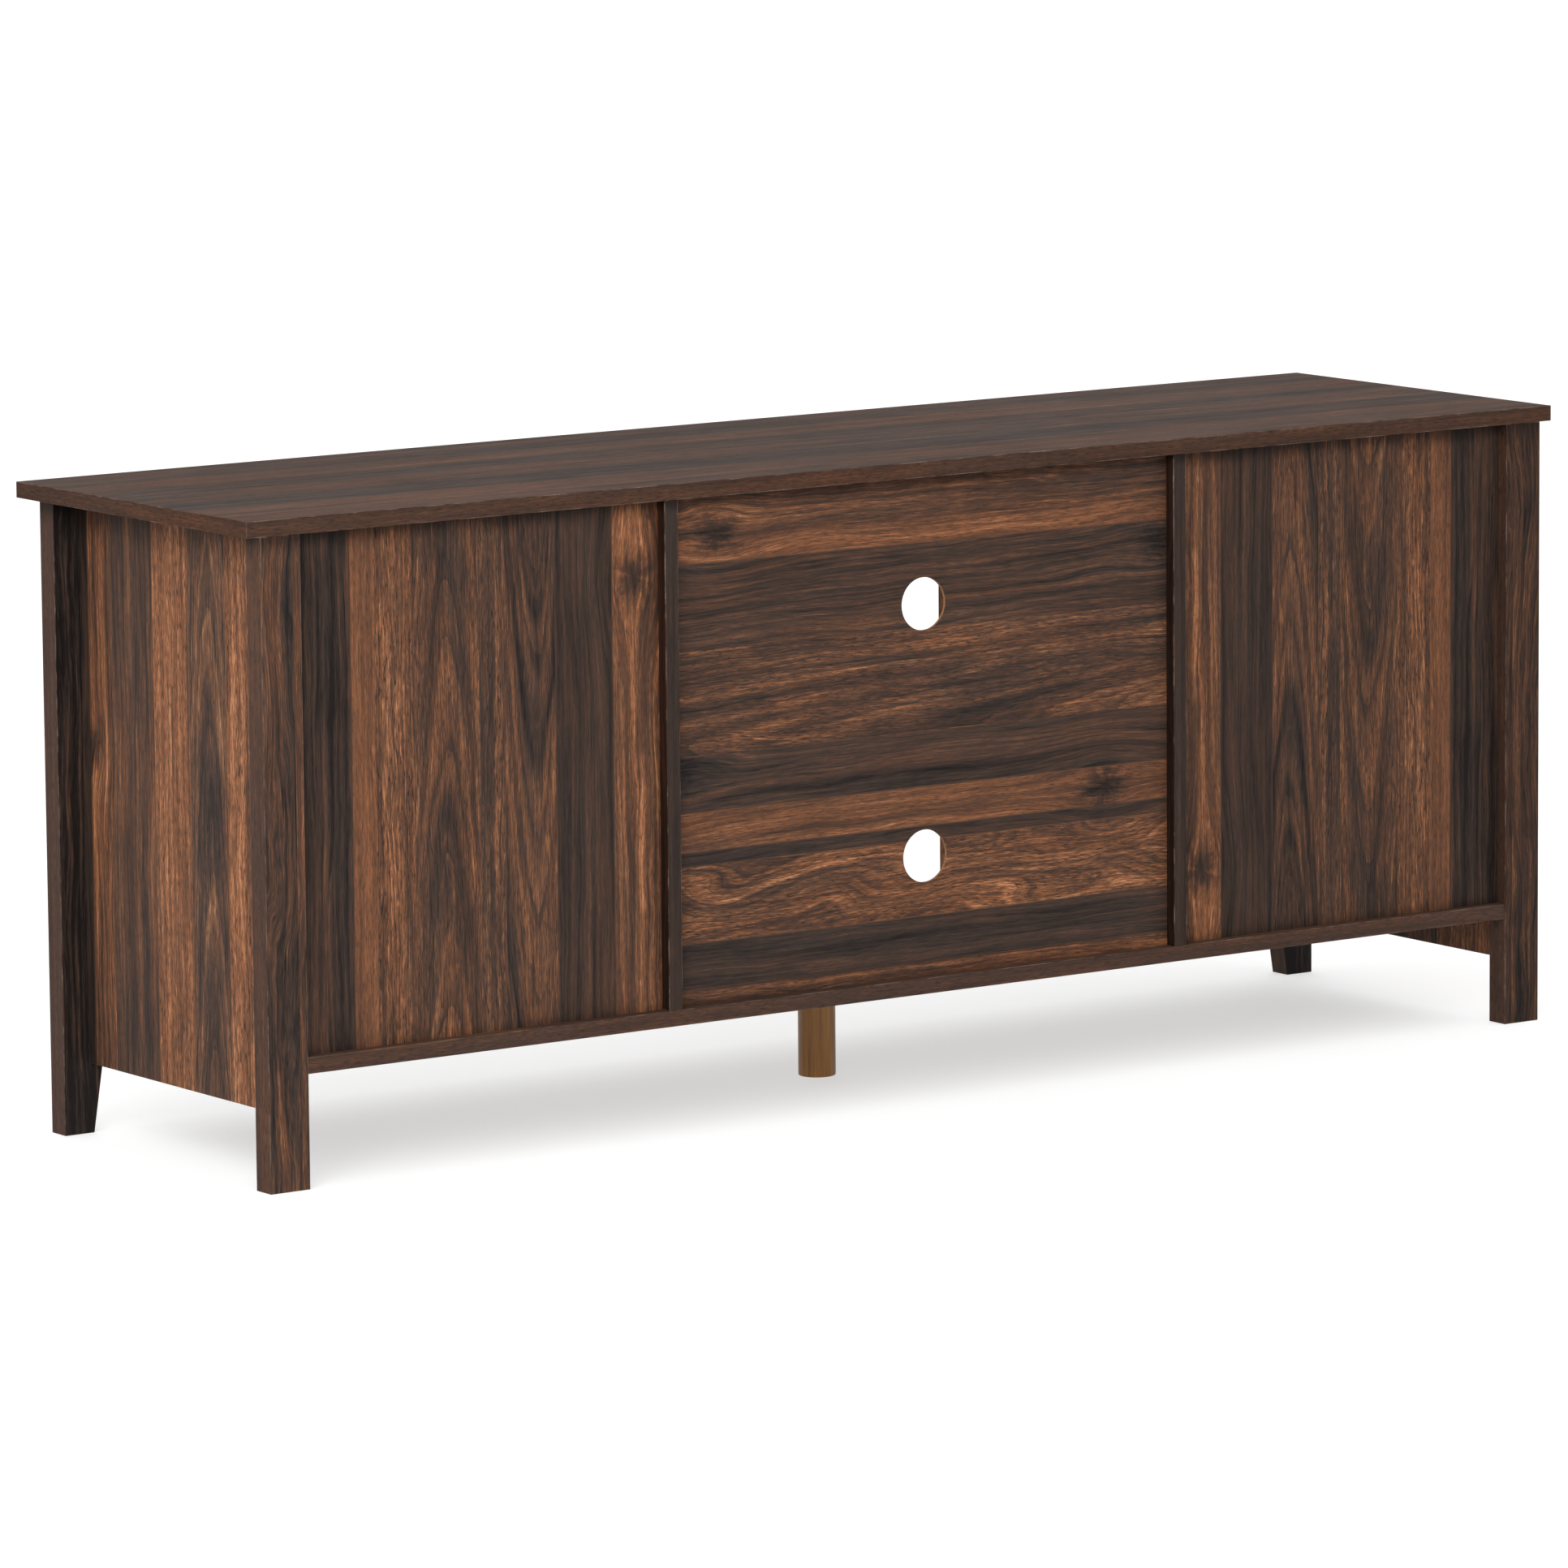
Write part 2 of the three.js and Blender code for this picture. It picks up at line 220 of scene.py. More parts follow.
# From charcoal late wood to the brightest tan early wood.
WALNUT = (
    (0.00, linear(27, 23, 23)),
    (0.16, linear(43, 36, 34)),
    (0.32, linear(60, 48, 43)),
    (0.47, linear(78, 57, 48)),
    (0.62, linear(98, 69, 53)),
    (0.76, linear(124, 85, 62)),
    (0.90, linear(152, 106, 77)),
    (1.00, linear(182, 132, 100)),
)


def new_group(name, inputs, outputs):
    tree = bpy.data.node_groups.new(name, "ShaderNodeTree")
    for title in inputs:
        tree.interface.new_socket(title, in_out="INPUT", socket_type="NodeSocketFloat")
    for title, kind in outputs:
        tree.interface.new_socket(title, in_out="OUTPUT", socket_type=kind)
    entry = tree.nodes.new("NodeGroupInput")
    leave = tree.nodes.new("NodeGroupOutput")
    return tree, [Wire(tree, out) for out in entry.outputs[: len(inputs)]], leave


def grain_group():
    """Growth rings, streaks, fine lines and pores.

    Across and Along are metres. Ring counts growth bands, so that where it bends, they form arches.
    """
    inputs = ("Across", "Along", "Ring", "Seed", "Tone", "Contrast", "Pores", "Warmth")
    outputs = (("Color", "NodeSocketColor"), ("Height", "NodeSocketFloat"))
    tree, wires, leave = new_group("walnut_grain", inputs, outputs)
    across, along, ring, seed, tone, contrast, pores, warmth = wires

    def streak(x, length, offset, detail=2.0, rough=0.55):
        place = vector(tree, x, along / length, seed * 3.7 + offset)
        return noise(tree, place, 1.0, detail, rough) - 0.5

    # From broad bands to single fibres. Across is divided by a width, in metres like the lengths.
    broad = streak(ring, length=0.42, offset=1.3, rough=0.5)
    bands = streak(ring * 3.1, length=0.26, offset=5.1, detail=3.0, rough=0.6)
    middle = streak(across / 0.0036, length=0.13, offset=9.2, detail=3.0, rough=0.6)
    fine = streak(across / 0.0013, length=0.045, offset=12.4, detail=3.0, rough=0.6)
    hair = streak(across / 0.0006, length=0.013, offset=15.8, detail=1.0)
    cloud = streak(across / 0.026, length=0.075, offset=21.0, detail=3.0)
    # Late wood darkens slowly and then stops at a crisp line.
    phase = (ring * 1.3 + broad * 2.2 + middle * 0.3).math("FRACT")
    late = phase.math("POWER", 6.0) * (cloud * 3.0 + 0.85).most(0.0)
    texture = (broad * 1.1 + bands * 0.66 + middle * 0.66 + fine * 0.86 + hair * 0.56
               + cloud * 0.5 - late * 0.24)
    value = tone + texture * contrast
    # Pores: short dashes that show most on pale wood, with pale flecks between them.
    bright = value.step(0.12, 0.72)
    fleck = streak(across / 0.00105, length=0.0105, offset=27.0)
    dash = streak(across / 0.00068, length=0.0095, offset=31.0, detail=1.0)
    pore = dash.step(0.06, 0.19) * pores * bright
    value = value + fleck * pores * bright * 0.8 - pore * 0.46
    colour, _ = ramp(tree, value, WALNUT)
    # Warm and cool stretches of the print.
    drift = noise(tree, vector(tree, across / 0.022, along / 0.22, seed + 44.0), 1.0, 2.0, 0.5)
    warm = (warmth + (drift - 0.5) * 1.3).step(0.05, 1.0)
    cool = mix_colour(tree, colour, linear(240, 246, 246), 1.0, "MULTIPLY")
    hot = mix_colour(tree, colour, linear(255, 241, 226), 1.0, "MULTIPLY")
    toned = mix_colour(tree, cool, hot, warm)
    height = fine * 0.25 + hair * 0.25 - pore * 0.7
    tree.links.new(toned.socket, leave.inputs["Color"])
    tree.links.new(height.socket, leave.inputs["Height"])
    return tree


GRAIN = grain_group()


def grain(tree, **values):
    node = tree.nodes.new("ShaderNodeGroup")
    node.node_tree = GRAIN
    for title, value in values.items():
        connect(tree, value, node.inputs[title])
    return Wire(tree, node.outputs["Color"]), Wire(tree, node.outputs["Height"])


def surface(tree, colour, roughness, bump=None, **constants):
    """A Principled shader, where a bump is (height, distance, strength).

    The constants are set on the shader's own sockets.
    """
    shader = tree.nodes["Principled BSDF"]
    connect(tree, colour, shader.inputs["Base Color"])
    connect(tree, roughness, shader.inputs["Roughness"])
    for title, value in constants.items():
        shader.inputs[title.replace("_", " ")].default_value = value
    if bump is not None:
        height, distance, strength = bump
        node = tree.nodes.new("ShaderNodeBump")
        node.inputs["Strength"].default_value = strength
        node.inputs["Distance"].default_value = distance
        tree.links.new(height.socket, node.inputs["Height"])
        tree.links.new(node.outputs[0], shader.inputs["Normal"])
    return shader


def new_material(name):
    material = bpy.data.materials.new(name)
    material.use_nodes = True
    return material, material.node_tree


def coordinates(tree):
    """Object-space place and object-space normal, each as three wires."""
    node = tree.nodes.new("ShaderNodeTexCoord")
    return split(tree, node.outputs["Object"]), split(tree, node.outputs["Normal"])


# ---------------------------------------------------------------------------------------------
# Printed boards
# ---------------------------------------------------------------------------------------------

AXES = "xyz"
# The width of one growth ring, and of the blurred line where two printed planks meet.
RING = 0.0115
PLANK_JOIN = 0.0005
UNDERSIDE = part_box("top_panel")[0].z
BOTTOM_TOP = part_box("bottom_panel")[1].z
PANEL_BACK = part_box("back_panel_centre")[1].y
# The tone at the heart of a knot, and how much of the print it covers there.
KNOT_TONE = 0.17
KNOT_COVER = 0.88


def plank_values(tree, u, planks):
    """The tone, contrast, pores and warmth of the plank at u, out of a ramp's colour and alpha."""
    total = sum(plank[0] for plank in planks) * MM
    stops = []
    start = 0.0
    join = PLANK_JOIN / total
    for width, *values in planks:
        stops.append((start + (join if stops else 0.0), values))
        start += width * MM / total
        stops.append((start, values))
    table, warmth = ramp(tree, u / total, stops)
    return (*split_colour(tree, table), warmth)


def knot_spot(tree, du, dv, reach, flow, turned):
    """How dark a knot is at (du, dv) from its middle: a soft core with fibres fanning out."""
    distance = (du.squared() + dv.squared() * 0.45 + 1e-9).math("SQRT")
    core = (distance / reach).squared()
    smoke = (core * -0.95).math("EXPONENT")
    haze = (core * -0.2).math("EXPONENT")
    sway = noise(tree, vector(tree, du / 0.009, dv / 0.012, turned), 1.0, 2.0, 0.5) - 0.5
    turn = vector(tree, du / distance * 2.1 + sway * 2.4, dv / distance * 1.7 - sway * 2.0,
                  distance / reach * 0.3 + turned)
    fan = noise(tree, turn, 1.0, 4.0, 0.66) - 0.5
    feather = noise(tree, flow, 1.0, 3.0, 0.62) - 0.5
    return (smoke * 0.95 + haze * (fan * 1.9 + feather * 1.3)).step(0.06, 0.98)


def bend_round_knots(tree, u, v, grain_line, knots, seed):
    """The lines of the fibres and of the growth rings past the knots, and the knots' darkness."""
    ring_line = grain_line
    dark = None
    for knot_u, knot_v, radius in knots:
        du = u - knot_u * MM
        dv = v - knot_v * MM
        reach = radius * MM
        near = (du / (reach * 2.3)).squared() + (dv / (reach * 3.4)).squared()
        pull = (near * -1.0).math("EXPONENT")
        ring_line = ring_line - du * pull * 0.8
        grain_line = grain_line - du * pull * 0.4
        flow = vector(tree, ring_line / 0.0015, v / 0.030, seed + knot_u)
        spot = knot_spot(tree, du, dv, reach, flow, knot_u)
        dark = spot if dark is None else dark.most(spot)
    return grain_line, ring_line, dark


def between(u, first, last):
    """1 where u is between two places in millimetres, and 0 elsewhere."""
    return u.over(first * MM) * (u * -1.0).over(-last * MM)


def curl_rings(tree, ring, u, v, swirls, seed):
    for first, last, strength in swirls:
        curl = noise(tree, vector(tree, u / 0.042, v / 0.12, seed + 17.0), 1.0, 0.6, 0.4) - 0.5
        ring = ring + curl * between(u, first, last) * strength
    return ring


def arch_rings(ring, u, grain_line, uneven_v, figures):
    """Puts nested arches in place of the straight rings, between each figure's limits."""
    for first, last, centre, tip, half_width, length, bands in figures:
        offset = (grain_line - centre * MM) / (half_width * MM)
        arch = (uneven_v - tip * MM) / (length * MM)
        arch = arch - (offset.squared() + 0.02).math("POWER", 0.85)
        ring = ring.choose(arch * bands, between(u, first, last))
    return ring


def edge_print(tree, edge, place, thin, lengthwise, seed, edge_tone):
    """The narrow sides: a printed band that runs lengthwise round the board, or its brown core."""
    if edge == "band":
        slant = thin + lengthwise * 0.006
        return grain(
            tree, Across=slant * 0.8, Along=lengthwise, Ring=slant / 0.011, Seed=seed + 60.0,
            Tone=edge_tone, Contrast=0.3, Pores=0.7, Warmth=0.6,
        )
    fibre = noise(tree, vector(tree, *place), 900.0, 3.0, 0.6)
    colour, _ = ramp(tree, fibre, ((0.3, linear(112, 76, 50)), (0.7, linear(176, 130, 92))))
    return colour, fibre


def shade_inner_side(tree, colour, place, normal, inner_side):
    """The strip of a side panel's inner face below the bottom board stays in shadow."""
    below = place[2].over(BOTTOM_TOP).math("LESS_THAN", 0.5)
    return darken(tree, colour, (normal[0] * inner_side).over(0.5) * below * 0.55)


def shade_ledge(tree, colour, place, normal):
    """The narrow side strip that stands out behind the back panels is in deep shade."""
    behind = place[1].over(PANEL_BACK) * normal[0].size().over(0.5)
    return mix_colour(tree, colour, (0.62, 0.42, 0.33, 1.0), behind, "MULTIPLY")


def shade_below_top(tree, colour, place, shelter):
    """Painted shade: a soft uneven dark line below the top, where the top's shadow falls."""
    drop = noise(tree, vector(tree, *place), 26.0, 2.0, 0.6)
    depth = place[2] * -1.0 + UNDERSIDE + (drop - 0.5) * 0.02
    return darken(tree, colour, depth.step(shelter * MM, 0.0) * 0.6)


def wear_and_highlight_arrises(tree, colour, place, low, high, wear_and_highlight):
    """A pale hairline along the arrises, where two faces meet, as a painted highlight, and a few
    small pale chips of wear.
    """
    inset_from = [(place[i] - low[i]).least(high[i] - place[i]) for i in range(3)]
    pair_low = inset_from[0].least(inset_from[1])
    pair_high = inset_from[0].most(inset_from[1])
    arris = pair_low.most(pair_high.least(inset_from[2]))
    patches = noise(tree, vector(tree, *place), 38.0, 3.0, 0.6)
    specks = noise(tree, vector(tree, *place), 600.0, 2.0, 0.6)
    # Painted highlight: a pale rubbed hairline along the arris. The chips below are wear.
    rubbed_highlight = arris.step(0.0010, 0.0003) * patches.step(0.42, 0.66) * 0.7
    chipped = arris.step(0.0012, 0.0006) * (patches * 0.6 + specks * 0.6).step(0.73, 0.8)
    worn_and_highlit = (rubbed_highlight + chipped).least(1.0) * wear_and_highlight
    return mix_colour(tree, colour, linear(140, 118, 104), worn_and_highlit)


def board_material(node, across, along, planks, figures=(), knots=(), swirls=(), seed=1.0,
                   edge="band", wear_and_highlight=0.5, shade=1.0, inset=(0, 0), gloss=0.1,
                   edge_tone=0.44, wave=1.0, shelter=0.0, rear_shift=0.0, inner_side=0,
                   corner=0.0, ledge=False):
    """The print of one board.

    across and along are signed axes such as "-x": the direction that the planks are counted in,
    and the direction of the grain, both from the board's corner plus the inset. Each plank is
    (width, tone, contrast, pores, warmth). A figure is (first, last, centre, tip, half width,
    length, bands): between first and last, the growth rings are nested arches whose sides fall
    away along the grain by one length for each half width, and a negative length turns them
    round. A swirl is (first, last, strength), where the rings curl. A knot is (across, along,
    radius). All are in millimetres. rear_shift is added to the tone of the face at the back, and
    shelter and corner are the widths of the shade below the top and at the far end.
    """
    low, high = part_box(node)
    material, tree = new_material("print_" + node)
    place, normal = coordinates(tree)

    def measured(signed, start):
        index = AXES.index(signed[1])
        if signed[0] == "+":
            return place[index] - (low[index] + start * MM)
        return high[index] - start * MM - place[index]

    across_index = AXES.index(across[1])
    along_index = AXES.index(along[1])
    thin_index = 3 - across_index - along_index
    u = measured(across, inset[0])
    v = measured(along, inset[1])
    tone, contrast, pores, warmth = plank_values(tree, u, planks)
    plank_seed = (tone * 9.0 + warmth * 20.0).math("ROUND") * 1.7 + seed

    # The grain wanders a few millimetres and bends round each knot.
    wander = noise(tree, vector(tree, u / 0.055, v / 0.24, seed + 3.0), 1.0, 2.0, 0.5) - 0.5
    ripple = noise(tree, vector(tree, u / 0.018, v / 0.06, seed + 7.0), 1.0, 2.0, 0.5) - 0.5
    straight = u + wander * (0.017 * wave) + ripple * (0.0028 * wave)
    grain_line, ring_line, dark = bend_round_knots(tree, u, v, straight, knots, seed)
    ring = curl_rings(tree, ring_line / RING, u, v, swirls, seed)
    ring = arch_rings(ring, u, grain_line, v + wander * 0.05 + ripple * 0.012, figures)
    # Painted shade: the face at the back is darker, where it sits in the recess beside the side
    # panel.
    if rear_shift:
        tone = tone + normal[1].over(0.5) * rear_shift
    if knots:
        tone = tone.choose(KNOT_TONE, dark * KNOT_COVER)
        pores = pores * (1.0 - dark)
    face_colour, face_height = grain(
        tree, Across=grain_line, Along=v, Ring=ring, Seed=plank_seed, Tone=tone,
        Contrast=contrast, Pores=pores, Warmth=warmth,
    )

    facing_across = normal[across_index].size().over(0.5)
    lengthwise = place[across_index].choose(place[along_index], facing_across)
    thin = place[thin_index] - low[thin_index]
    edge_colour, edge_height = edge_print(tree, edge, place, thin, lengthwise, seed, edge_tone)
    on_edge = normal[thin_index].size().step(0.75, 0.45)
    colour = mix_colour(tree, face_colour, edge_colour, on_edge)
    height = face_height.choose(edge_height, on_edge)

    # Painted shade: the whole board is made darker, where less light reaches it.
    if shade != 1.0:
        colour = mix_colour(tree, colour, (shade, shade, shade, 1.0), 1.0, "MULTIPLY")
    if inner_side:
        colour = shade_inner_side(tree, colour, place, normal, inner_side)
    if corner:
        # The far end of the board is shaded by the board that stands beside it.
        total = sum(plank[0] for plank in planks)
        shaded = u.step((total - corner) * MM, total * MM)
        colour = mix_colour(tree, colour, (0.36, 0.30, 0.27, 1.0), shaded, "MULTIPLY")
    if ledge:
        colour = shade_ledge(tree, colour, place, normal)
    if shelter:
        colour = shade_below_top(tree, colour, place, shelter)
    colour = wear_and_highlight_arrises(tree, colour, place, low, high, wear_and_highlight)

    # Fine dust and finger marks make the satin uneven.
    smudge = noise(tree, vector(tree, *place), 9.0, 4.0, 0.6)
    roughness = 0.5 + smudge * 0.16 + (height * -0.25)
    roughness = roughness.choose(0.66, on_edge * 0.5)
    surface(tree, colour, roughness, (height, 0.00012, 0.3), Specular_IOR_Level=gloss)
    assign(nodes[node], material)


def assign(obj, material):
    obj.data.materials.clear()
    obj.data.materials.append(material)


def soften(obj, width=0.5 * MM, segments=2):
    """Rounds the arrises of a CAD board without touching its mesh."""
    weld = obj.modifiers.new("weld", "WELD")
    weld.merge_threshold = 1e-6
    bevel = obj.modifiers.new("arris", "BEVEL")
    bevel.width = width
    bevel.segments = segments
    bevel.limit_method = "ANGLE"
    bevel.angle_limit = math.radians(40)
    bevel.harden_normals = False


# The planks, figures and knots of each print, as board_material explains them.
SIDE_BAY = (
    (59, 0.305, 0.74, 0.25, 0.68),
    (25, 0.67, 0.40, 0.45, 0.85),
    (41, 0.63, 0.80, 1.00, 0.72),
    (70, 0.45, 0.90, 0.70, 0.60),
    (28, 0.56, 0.80, 1.00, 0.46),
    (56, 0.46, 0.86, 0.55, 0.58),
    (63, 0.385, 0.58, 0.35, 0.60),
    (61, 0.62, 0.80, 0.50, 0.80),
)
SIDE_BAY_FIGURES = (
    (125, 195, 161, 208, 27, 150, 1.35),
    (223, 279, 258, 285, 24, -150, 1.6),
)
SIDE_BAY_KNOTS = ((366, 68, 18),)
CENTRE_BAY = (
    (40, 0.54, 0.85, 0.45, 0.80),
    (22, 0.66, 0.60, 0.45, 0.90),
    (80, 0.42, 0.66, 0.40, 0.50),
    (98, 0.51, 0.85, 0.80, 0.60),
    (53, 0.37, 0.66, 0.25, 0.45),
    (37, 0.64, 0.62, 0.45, 0.80),
    (13, 0.34, 0.60, 0.30, 0.45),
    (72, 0.645, 0.84, 0.85, 0.72),
    (44, 0.33, 0.60, 0.40, 0.30),
    (17, 0.56, 0.70, 0.60, 0.65),
)
CENTRE_BAY_FIGURES = ((62, 240, 240, 228, 110, 1590, 9.0),)
CENTRE_BAY_KNOTS = ((34, 52, 16), (311, 496, 17), (262, 0, 20), (84, 560, 16))
END_PANEL = (
    (14, 0.20, 0.55, 0.20, 0.70),
    (37, 0.64, 1.05, 0.35, 1.50),
    (76, 0.43, 0.80, 0.40, 0.50),
    (62, 0.77, 0.65, 0.85, 0.85),
    (63, 0.53, 1.00, 0.60, 0.40),
    (82, 0.79, 0.65, 1.00, 0.80),
)
END_PANEL_FIGURES = ((189, 252, 224, 84, 27, 190, 1.9),)
TOP = (
    (30, 0.45, 0.55, 0.30, 0.50),
    (66, 0.52, 0.50, 0.35, 0.50),
    (60, 0.35, 0.50, 0.20, 0.30),
    (72, 0.46, 0.55, 0.30, 0.40),
    (40, 0.37, 0.50, 0.20, 0.30),
    (54, 0.50, 0.50, 0.40, 0.50),
    (44, 0.38, 0.50, 0.30, 0.35),
    (34, 0.42, 0.50, 0.30, 0.40),
)
LEG = ((8, 0.50, 0.95, 0.40, 0.75), (13, 0.38, 1.00, 0.30, 0.55), (21, 0.44, 1.05, 0.35, 0.60))


BOARDS = [
    name
    for name in nodes
    if name.startswith(("top_", "bottom_", "centre_shelf", "back_panel", "side_panel", "partition",
                        "shelf_left", "shelf_right", "door_", "leg_"))
]


def dress_boards():
    # The left bay's back panel gets painted shade, where less light reaches it.
    for side, across, along, shade in (("right", "-x", "-z", 1.0), ("left", "+x", "+z", 0.9)):
        board_material(f"back_panel_{side}", across, along, SIDE_BAY, SIDE_BAY_FIGURES,
                       SIDE_BAY_KNOTS, seed=1.0, edge="core", wear_and_highlight=0.0, inset=(5, 5),
                       shade=shade, shelter=20, corner=17 if side == "right" else 0)
    board_material("back_panel_centre", "-z", "-x", CENTRE_BAY, CENTRE_BAY_FIGURES,
                   CENTRE_BAY_KNOTS, ((343, 415, 6.5),), seed=2.0, edge="core", wear_and_highlight=0.0,
                   inset=(5, 5), shelter=16)
    board_material("top_panel", "-y", "+x", TOP, seed=3.0, wear_and_highlight=0.65, gloss=0.015, wave=1.5,
                   edge_tone=0.43)
    board_material("bottom_panel", "-y", "-x", TOP, seed=4.0, wear_and_highlight=0.5)
    board_material("centre_shelf", "-y", "-x", CENTRE_BAY, seed=5.0)
    for side, sign in SIDES:
        outward = "+x" if sign > 0 else "-x"
        board_material(f"side_panel_{side}", "+y", "-z", END_PANEL, END_PANEL_FIGURES,
                       ((16, 230, 13),), seed=6.0 + sign, wear_and_highlight=0.4, shelter=38,
                       inner_side=-sign)
        board_material(f"partition_{side}", "+y", "-z", END_PANEL[::-1], seed=8.0 + sign,
                       wear_and_highlight=0.7, edge_tone=0.27, shelter=12, ledge=True)
        board_material(f"shelf_{side}", "-y", outward, CENTRE_BAY, seed=10.0 + sign)
        board_material(f"door_{side}", outward, "-z", SIDE_BAY, SIDE_BAY_FIGURES,
                       SIDE_BAY_KNOTS, seed=12.0 + sign)
        # The left back leg gets painted shade, where less light reaches it.
        board_material(f"leg_back_{side}", outward, "-z", LEG, seed=14.0 + sign, wear_and_highlight=0.6,
                       wave=2.5, edge_tone=0.47, shade=1.0 if sign > 0 else 0.66, shelter=20)
        board_material(f"leg_front_{side}", outward, "-z", LEG, seed=15.5 + sign, wear_and_highlight=0.6,
                       wave=1.5, edge_tone=0.40, shelter=25, rear_shift=-0.34)
    for name in BOARDS:
        soften(nodes[name], 0.25 * MM if name.startswith("back_panel") else 0.5 * MM)


# ---------------------------------------------------------------------------------------------
# Plain materials
# ---------------------------------------------------------------------------------------------

def golden_wood():
    """Stained solid wood: growth lines in three dimensions, stretched along the leg."""
    material, tree = new_material("golden_wood")
    (x, y, z), _ = coordinates(tree)
    rings = noise(tree, vector(tree, x / 0.006, y / 0.006, z / 0.16), 1.0, 3.0, 0.6)
    fibres = noise(tree, vector(tree, x / 0.0009, y / 0.0009, z / 0.03), 1.0, 2.0, 0.6)
    value = rings * 0.7 + fibres * 0.3
    colour, _ = ramp(tree, value, (
        (0.25, linear(80, 48, 14)),
        (0.45, linear(130, 84, 27)),
        (0.62, linear(156, 105, 39)),
        (0.80, linear(184, 132, 58)),
    ))
    surface(tree, colour, 0.34 + fibres * 0.12, (fibres, 0.0001, 0.2), Specular_IOR_Level=0.45)
    return material


def metal(name, colour, roughness, metallic, spread, bump):
    """A metal or coat whose tone and roughness vary a little, with a fine grainy bump."""
    material, tree = new_material(name)
    place, _ = coordinates(tree)
    patches = noise(tree, vector(tree, *place), 60.0, 3.0, 0.6)
    grit = noise(tree, vector(tree, *place), 2600.0, 2.0, 0.6)
    shade = patches * spread + (1.0 - spread / 2)
    tinted = mix_colour(tree, colour, vector(tree, shade, shade, shade), 1.0, "MULTIPLY")
    surface(tree, tinted, roughness + patches * 0.14, (grit, bump, 0.4), Metallic=metallic)
    return material


# ---------------------------------------------------------------------------------------------
# Hardware meshes: closed shells gathered in one bmesh for each piece.
# ---------------------------------------------------------------------------------------------

def axis_frame(axis):
    """Two directions square to the axis, for turning a profile round it."""
    first = Vector((0, 0, 1)) if abs(axis.z) < 0.9 else Vector((1, 0, 0))
    first = (first - axis * first.dot(axis)).normalized()
    return first, axis.cross(first)


def turn_profile(builder, profile, origin, axis, steps=48, bored=False):
    """Adds a turned shell from (radius, height) points.

    The first and last radius is 0, or where it is bored, the last point joins the first.
    """
    axis = Vector(axis).normalized()
    first, second = axis_frame(axis)
    origin = Vector(origin)
    rings = []
    for radius, height in profile:
        middle = origin + axis * height
        if radius == 0:
            rings.append([builder.verts.new(middle)])
            continue
        ring = []
        for step in range(steps):
            angle = 2 * math.pi * step / steps
            ring.append(builder.verts.new(
                middle + (first * math.cos(angle) + second * math.sin(angle)) * radius
            ))
        rings.append(ring)
    pairs = list(zip(rings, rings[1:]))
    if bored:
        pairs.append((rings[-1], rings[0]))
    for lower, upper in pairs:
        for step in range(steps):
            corner = (step + 1) % steps
            if len(lower) == 1:
                builder.faces.new((lower[0], upper[corner], upper[step]))
            elif len(upper) == 1:
                builder.faces.new((lower[step], lower[corner], upper[0]))
            else:
                builder.faces.new((lower[step], lower[corner], upper[corner], upper[step]))


def rod_profile(radius, start, end, chamfer):
    """A rod's profile with rounded rims."""
    cut = chamfer * 0.3
    return (
        (0, start), (radius - chamfer, start), (radius - cut, start + cut),
        (radius, start + chamfer), (radius, end - chamfer), (radius - cut, end - cut),
        (radius - chamfer, end), (0, end),
    )


def tube_profile(outer, inner, length, chamfer):
    """A tube's profile with rounded outer rims and an open bore."""
    return (
        (inner, 0), (outer - chamfer, 0), (outer, chamfer), (outer, length - chamfer),
        (outer - chamfer, length), (inner, length),
    )


def add_plate(builder, low, high, rounding):
    """Adds a box shell with rounded edges."""
    shell = bmesh.new()
    bmesh.ops.create_cube(shell, size=1.0)
    low, high = Vector(low), Vector(high)
    for vert in shell.verts:
        vert.co = Vector(
            low[i] + (high[i] - low[i]) * (vert.co[i] + 0.5) for i in range(3)
        )
    bmesh.ops.bevel(shell, geom=list(shell.edges), offset=rounding, segments=2, profile=0.5,
                    affect="EDGES")
    merge_shell(builder, shell)


def merge_shell(builder, shell):
    mesh = bpy.data.meshes.new("shell")
    shell.to_mesh(mesh)
    shell.free()
    builder.from_mesh(mesh)
    bpy.data.meshes.remove(mesh)


